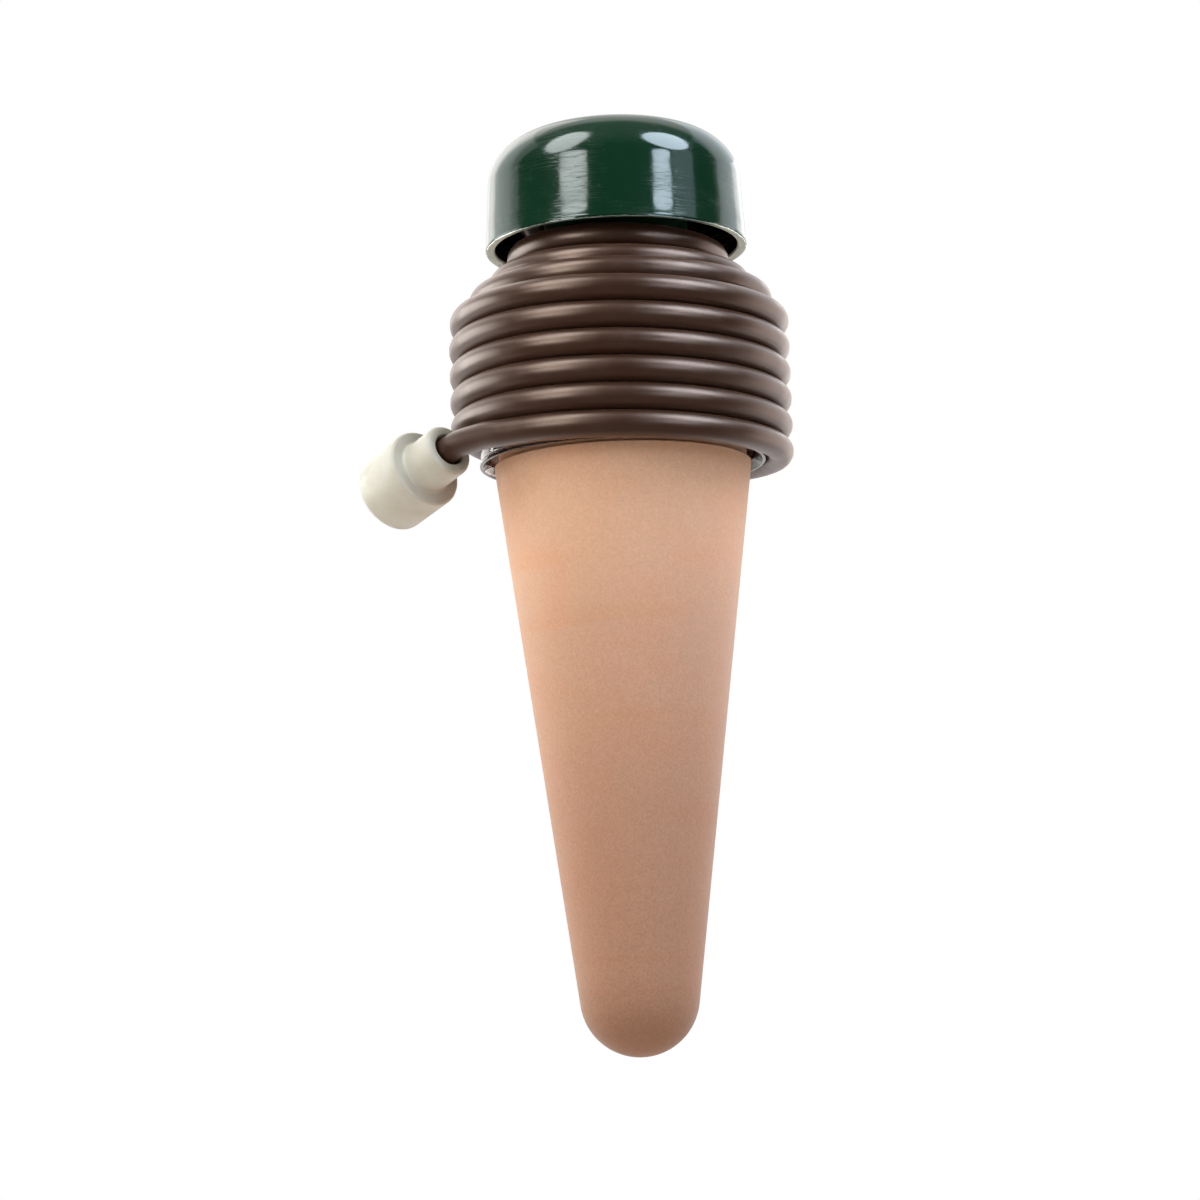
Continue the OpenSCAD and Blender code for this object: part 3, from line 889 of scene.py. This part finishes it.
@dataclass
class Collar:
    """The clear collar: a skirt round the clay, a sloping shoulder, a ledge and a threaded neck."""

    inner_radius: float = 20.1 * MM
    wall: float = 1.2 * MM
    skirt_height: float = 19.6 * MM
    shoulder_height: float = 10.9 * MM
    ledge_radius: float = 12.3 * MM
    ledge_thickness: float = 1.6 * MM
    neck_radius: float = 8.7 * MM
    neck_bore: float = 6.8 * MM
    bead: float = 0.15 * MM
    bead_height: float = 0.5 * MM
    foot_taper: float = 0.9 * MM
    ribs: int = 8
    rib_width: float = 1.4 * MM
    rib_height: float = 3 * MM
    rib_start: float = 18.65 * MM
    rib_up: float = 1 * MM
    pitch: float = 3 * MM
    thread_turns: float = 1.25
    thread_depth: float = 0.8 * MM
    thread_sink: float = 0.2 * MM
    thread_foot: float = 0.23
    thread_crest: float = 0.12
    thread_steps: int = 48
    thread_ends: int = 6
    thread_start: float = 0.1
    steps: int = 160

    def build(self) -> bpy.types.Object:
        """Turns the wall of the collar and adds its thread and centring ribs."""
        foot, top = (corner.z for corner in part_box("collar"))
        outer = self.inner_radius + self.wall
        shoulder = foot + self.skirt_height
        ledge = shoulder + self.shoulder_height
        slope = self.shoulder_height / (outer - self.ledge_radius)
        drop = self.wall * math.hypot(1, slope)
        under = ledge - self.ledge_thickness
        bead_top = foot + self.bead_height
        skin = turned([
            Corner(self.inner_radius, foot + 2 * self.foot_taper, 0.4 * MM),
            Corner(self.inner_radius + self.foot_taper, foot, 0.08 * MM),
            Corner(outer + self.bead, foot, 0.12 * MM),
            Corner(outer + self.bead, bead_top, 0.05 * MM),
            Corner(outer, bead_top + 2 * self.bead, 0.2 * MM),
            Corner(outer, shoulder, 1.5 * MM),
            Corner(self.ledge_radius, ledge, 0.5 * MM),
            Corner(self.neck_radius, ledge, 0.3 * MM),
            Corner(self.neck_radius, top, 0.2 * MM),
            Corner(self.neck_bore, top, 0.2 * MM),
            Corner(self.neck_bore, under, 0.3 * MM),
            Corner(outer - (under + drop - shoulder) / slope, under, 0.3 * MM),
            Corner(self.inner_radius, shoulder + self.wall * slope - drop, 1.0 * MM)],
            self.steps, closed=True)
        self.add_thread(skin, ledge + 1.2 * self.pitch)
        rib_foot = foot + self.rib_up
        for i in range(self.ribs):
            add_block(skin, FULL_TURN * (i + 0.5) / self.ribs,
                      (self.rib_start, self.inner_radius + 0.1 * MM),
                      (rib_foot, rib_foot + self.rib_height), self.rib_width)
        made = piece_of("collar_shell", skin, ClearMoulding(), Body.SPIKE, crease=30.0)
        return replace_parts(made, "collar")

    def add_thread(self, skin: Skin, start: float) -> None:
        """Winds the thread's ridge round the neck and lets it run out at both ends."""
        sunk = self.neck_radius - self.thread_sink
        crest = self.neck_radius + self.thread_depth
        section = [(sunk, -self.thread_foot), (crest, -self.thread_crest),
                   (crest, self.thread_crest), (sunk, self.thread_foot)]
        ring = [skin.verts.new((r, 0, start + share * self.pitch)) for r, share in section]
        geometry = ring + [skin.edges.new((a, b)) for a, b in zip(ring, ring[1:] + ring[:1])]
        count = math.ceil(self.thread_turns * self.thread_steps)
        turn = FULL_TURN * self.thread_turns / count
        rise = Vector((0, 0, self.pitch * self.thread_turns / count))
        rings = [ring]
        ends = [only(Edge, geometry)]
        for _ in range(count):
            geometry = bmesh.ops.spin(skin, geom=geometry, cent=(0, 0, 0), axis=(0, 0, 1),
                                      dvec=rise, angle=turn, steps=1)["geom_last"]
            rings.append(only(Vert, geometry))
        ends.append(only(Edge, geometry))
        for loop in ends:
            bmesh.ops.contextual_create(skin, geom=loop)
        for i, verts in enumerate(rings):
            share = min(1.0, min(i, count - i) / self.thread_ends + self.thread_start)
            for vert in verts:
                if vert.co.xy.length > self.neck_radius:
                    vert.co.xy *= (self.neck_radius + share * self.thread_depth) / crest
        bmesh.ops.recalc_face_normals(skin, faces=skin.faces[:])


@dataclass
class Cap:
    """The domed green screw cap, with its ragged thin lip and ribbed roof."""

    radius: float = 19.75 * MM
    taper: float = 0.55 * MM
    lip_out: float = 0.01 * MM
    lip_height: float = 0.3 * MM
    lip_width: float = 1.3 * MM
    bevel_rise: float = 0.26 * MM
    side_height: float = 10 * MM
    shoulder_width: float = 8.7 * MM
    shoulder_height: float = 7.8 * MM
    dome: float = 0.8 * MM
    wall: float = 1.4 * MM
    post_radius: float = 4.5 * MM
    post_ring: float = 1.4 * MM
    post_length: float = 2.1 * MM
    roof_ribs: int = 6
    rib_thickness: float = 1 * MM
    sleeve_radius: float = 10.9 * MM
    cutter_rings: int = 9
    cutter_depth: float = 0.05 * MM
    cutter_pitch: float = 0.55 * MM
    cutter_start: float = 0.8 * MM
    bend_steps: int = 28
    plain_steps: int = 8
    steps: int = 288
    flash: tuple[tuple[int, float], ...] = ((9, 1.1), (23, 0.4), (41, 0.0), (67, 2.0))
    flash_width: float = 0.25 * MM
    flash_in: float = 0.09 * MM
    flash_up: float = 0.05 * MM

    def arc(self, flat: float, foot: float, width: float, height: float) -> list[Corner]:
        """Gives the oval quarter bend from the top of the side to the flat of the roof."""
        bends = [math.pi / 2 * i / self.bend_steps for i in range(self.bend_steps + 1)]
        return [Corner(flat + width * math.cos(t), foot + height * math.sin(t)) for t in bends]

    def build(self) -> bpy.types.Object:
        """Turns the shell, roughens its lip and adds the ribs under the roof."""
        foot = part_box("cap_shell")[0].z
        side_top = foot + self.side_height
        flat = self.radius - self.taper - self.shoulder_width
        edge = side_top + self.shoulder_height
        roof = edge - self.wall
        disc_top = roof - self.post_length
        mouth = self.radius - self.wall
        lip = self.radius + self.lip_out
        count = self.plain_steps
        side = [Corner(self.radius - self.taper * i / count, foot + self.side_height * i / count)
                for i in range(1, count)]
        dome = [Corner(flat * math.cos(t), edge + self.dome * math.sin(t))
                for t in (math.pi / 2 * i / count for i in range(1, count + 1))]
        cuts = [Corner(mouth - self.cutter_depth * (i % 2),
                       foot + self.cutter_start + self.cutter_pitch * i)
                for i in range(2 * self.cutter_rings)]
        ring = self.post_radius + self.post_ring
        skin = turned([
            Corner(0.0, roof), Corner(self.post_radius, roof),
            Corner(self.post_radius, disc_top, 0.2 * MM), Corner(ring, disc_top, 0.2 * MM),
            Corner(ring, roof, 0.3 * MM),
            *reversed(self.arc(flat, side_top, self.shoulder_width - self.wall,
                               self.shoulder_height - self.wall)),
            *reversed(cuts), Corner(mouth, foot + 2 * self.bevel_rise, 0.1 * MM),
            Corner(lip - self.lip_width, foot + self.bevel_rise, 0.1 * MM),
            Corner(lip, foot, 0.06 * MM),
            Corner(lip, foot + self.lip_height, 0.12 * MM),
            Corner(self.radius, foot + 2 * self.lip_height, 0.2 * MM),
            *side, *self.arc(flat, side_top, self.shoulder_width, self.shoulder_height),
            *dome], self.steps)
        self.roughen(skin, foot, lip)
        start = self.post_radius + 0.6 * self.post_ring
        for i in range(self.roof_ribs):
            add_block(skin, FULL_TURN * i / self.roof_ribs, (start, self.sleeve_radius),
                      (disc_top, roof + 0.2 * MM), self.rib_thickness)
        made = piece_of("cap_dome", skin, GreenMoulding(rim_height=foot), Body.CAP, crease=40.0)
        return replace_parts(made, "cap_shell")

    def roughen(self, skin: Skin, foot: float, lip: float) -> None:
        """Makes the lip's lower edge uneven, as a moulding's flash is."""
        for vert in skin.verts:
            out = vert.co.xy.length
            if out > lip - self.flash_width and vert.co.z < foot + self.lip_height:
                turn = math.atan2(vert.co.y, vert.co.x)
                waves = sum(math.sin(n * turn + start) for n, start in self.flash)
                waves /= len(self.flash)
                vert.co.xy *= 1 - self.flash_in * (1 - waves) / out
                vert.co.z += self.flash_up * (1 + waves)


@dataclass
class CarriedPieces:
    """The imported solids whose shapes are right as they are, and what they wear."""

    def dress(self, nodes: Mapping[str, bpy.types.Object]) -> None:
        """Gives each carried solid its finish."""
        finishes = {
            "bond_ring": InnerMoulding("bond_compound", "bond", (0.60, 0.55, 0.47),
                                       (0.50, 0.44, 0.36), 0.7, 0.5 * MM, 0.04 * MM),
            "seal_ring": InnerMoulding("seal_rubber_skin", "seal_rubber", (0.030, 0.030, 0.032),
                                       (0.045, 0.044, 0.044), 0.62, 0.4 * MM, 0.02 * MM),
            "cap_insert": InnerMoulding("insert_moulding", "insert_plastic", (0.012, 0.055, 0.026),
                                        (0.016, 0.070, 0.034), 0.32, 0.6 * MM, 0.01 * MM)}
        for name, finish in finishes.items():
            solid = nodes[name]
            solid.data.materials.clear()
            solid.data.materials.append(finish.material())
            LOG.info("%s: packed solid in %s", name, finish.name)


@dataclass(frozen=True)
class Lamp:
    """A soft light that faces the part, placed by its bearing from the cap."""

    name: str
    bearing: float
    rise: float
    width: float
    height: float
    radiance: float
    colour: Rgb
    oval: bool = False
    distance: float = 0.40

    def build(self, aim: Vector) -> None:
        """Hangs the light at its place, turned to the aim."""
        turn, tilt = math.radians(self.bearing), math.radians(self.rise)
        way = Vector((math.sin(turn) * math.cos(tilt), -math.cos(turn) * math.cos(tilt),
                      math.sin(tilt)))
        light = bpy.data.lights.new(self.name, "AREA")
        light.shape = "ELLIPSE" if self.oval else "RECTANGLE"
        light.size = self.width
        light.size_y = self.height
        area = self.width * self.height * (math.pi / 4 if self.oval else 1)
        light.energy = self.radiance * math.pi * area
        light.color = self.colour
        made = added(self.name, light)
        made.location = aim + way * self.distance
        made.rotation_mode = "QUATERNION"
        made.rotation_quaternion = way.to_track_quat("Z", "Y")
        made.visible_camera = False


@dataclass
class Studio:
    """The plain pale room: its floor, its white surroundings and its soft lamps."""

    aim: Vector = Vector((0, 0, 125 * MM))
    floor_height: float = -60 * MM
    floor_size: float = 8.0
    left_tint: Rgb = (0.97, 1.05, 1.04)
    right_tint: Rgb = (0.78, 0.95, 1.10)
    back_tint: Rgb = (1.0, 0.93, 0.88)
    bounce: Rgb = (0.66, 0.585, 0.51)
    mirrored: Rgb = (0.16, 0.12, 0.10)
    paper: Rgb = (0.90, 0.90, 0.895)
    white: Sequence[float] = (1, 1, 1, 1)
    front_level: float = 0.03
    ceiling_level: float = 0.24
    ceiling_edge: tuple[float, float] = (0.45, 0.95)
    wall_edge: tuple[float, float] = (0.16, 0.40)
    floor_edge: tuple[float, float] = (-0.05, 0.15)
    floor_fade: tuple[float, float] = (0.22, 0.55)

    def build(self) -> None:
        """Makes the floor, the world and the lamps."""
        self.lay_floor()
        self.paint_world()
        for lamp in self.lamps():
            lamp.build(self.aim)

    def lamps(self) -> list[Lamp]:
        """Gives the umbrellas and narrow panels in front, and the wide panels behind them."""
        left, right, back = self.left_tint, self.right_tint, self.back_tint
        return [
            Lamp("left_umbrella", -53, 47, 0.21, 0.32, 8.2, left, oval=True),
            Lamp("left_strip", -36, 22.1, 0.17, 0.030, 10.6, left, oval=True),
            Lamp("left_low", -45, 6.5, 0.14, 0.15, 10.0, left),
            Lamp("left_wall", -122, 34, 0.38, 0.245, 0.7, left),
            Lamp("left_side", -111, 0, 0.30, 0.235, 5.1, left),
            Lamp("left_back", -150, 30, 0.20, 0.40, 1.0, back),
            Lamp("right_umbrella", 58, 43.5, 0.26, 0.27, 11.6, right, oval=True),
            Lamp("right_strip", 43, 20.6, 0.12, 0.036, 12.5, right, oval=True),
            Lamp("right_low", 37, 6.0, 0.18, 0.14, 5.0, right),
            Lamp("right_screen", 65, 22, 0.14, 0.06, 1.2, right),
            Lamp("right_wall", 133, 34, 0.38, 0.245, 0.7, right),
            Lamp("right_side", 112, -4, 0.26, 0.31, 1.2, back),
            Lamp("right_back", 150, 4, 0.20, 0.27, 1.2, back)]

    def lay_floor(self) -> None:
        """Lays the floor, which fades to white away from the part and keeps its shadow."""
        skin = bmesh.new()
        bmesh.ops.create_grid(skin, x_segments=1, y_segments=1, size=self.floor_size / 2,
                              matrix=Matrix.Translation((0, 0, self.floor_height)))
        mesh = bpy.data.meshes.new("floor")
        skin.to_mesh(mesh)
        skin.free()
        floor = added("floor", mesh)
        paint = bpy.data.materials.new("floor_paint")
        mesh.materials.append(paint)
        graph = Graph(paint)
        across, away, _ = graph.parts(graph.place(Space.OBJECT))
        reach = (across * across + away * away) ** 0.5
        far = graph.step(reach, *self.floor_fade)
        seen = self.seen_directly(graph, graph.step(away, *self.floor_edge))
        soft = graph.mix(graph.ray("Glossy"), self.bounce, self.mirrored)
        albedo = graph.mix(seen, soft, self.paper)
        matt = graph.node("ShaderNodeBsdfDiffuse", {}, {"Color": albedo})
        white = graph.node("ShaderNodeEmission", {}, {"Color": self.white, "Strength": 1.0})
        lit = graph.node("ShaderNodeMixShader", {}, {0: far * seen, 1: matt, 2: white})
        clear = graph.node("ShaderNodeBsdfTransparent", {}, {})
        below = graph.node("ShaderNodeNewGeometry", {}, {}, "Backfacing")
        graph.node_out(graph.node("ShaderNodeMixShader", {}, {0: below, 1: lit, 2: clear}))

    @staticmethod
    def seen_directly(graph: Graph, behind: Signal) -> Signal:
        """Gives how white the background is for a ray, from 0 for soft light to 1.

        Args:
            graph: The nodes of the floor or of the world.
            behind: Where the background lies that gloss shows, beside and behind the part.

        Returns:
            1 for rays from the camera or through a clear piece, and behind for gloss.
        """
        straight = graph.ray("Camera").at_least(graph.ray("Transmission"))
        return straight.at_least(graph.ray("Glossy") * behind)

    def paint_world(self) -> None:
        """Paints white walls behind and beside the part, and a dim room in front of it."""
        world = bpy.data.worlds.new("studio")
        bpy.context.scene.world = world
        graph = Graph(world)
        way = graph.node("ShaderNodeTexCoord", {}, {}, "Generated")
        _, away, up = graph.parts(way)
        wall = graph.step(away, *self.wall_edge)
        ceiling = graph.step(up, *self.ceiling_edge) * self.ceiling_level
        room = wall.at_least(ceiling).at_least(self.front_level)
        level = room.at_least(self.seen_directly(graph, wall))
        light = graph.node("ShaderNodeBackground", {}, {"Color": self.white, "Strength": level})
        graph.node_out(light, "ShaderNodeOutputWorld")


@dataclass
class Viewpoint:
    """The camera, low in front of the part and looking up at it."""

    place: Vector = Vector((-1.88 * MM, -463.0 * MM, -1.80 * MM))
    pitch: float = 8.53
    yaw: float = -0.27
    roll: float = -1.75
    focal_pixels: float = 3140.2
    image_pixels: float = 1200.0
    sensor: float = 36.0

    def build(self) -> None:
        """Sets up the camera and makes it the scene's own."""
        camera = bpy.data.cameras.new("camera")
        camera.sensor_width = self.sensor
        camera.lens = self.focal_pixels * self.sensor / self.image_pixels
        camera.clip_start = 10 * MM
        camera.clip_end = 20
        made = added("camera", camera)
        made.matrix_world = (Matrix.Translation(self.place)
                             @ Matrix.Rotation(math.radians(-self.yaw), 4, "Z")
                             @ Matrix.Rotation(math.radians(90 + self.pitch), 4, "X")
                             @ Matrix.Rotation(math.radians(self.roll), 4, "Z"))
        bpy.context.scene.camera = made


def main() -> None:
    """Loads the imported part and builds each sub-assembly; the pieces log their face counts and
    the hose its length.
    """
    logging.basicConfig(level=logging.INFO, format="%(name)s: %(message)s")
    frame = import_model()
    bpy.context.scene.view_settings.view_transform = "Standard"
    Viewpoint().build()
    route = HoseRoute()
    weight = EndWeight(route).build()
    Hose(route).build(weight)
    ClayCone().build()
    Collar().build()
    Cap().build()
    CarriedPieces().dress(frame["nodes"])
    Studio().build()


if __name__ == "__main__":
    main()
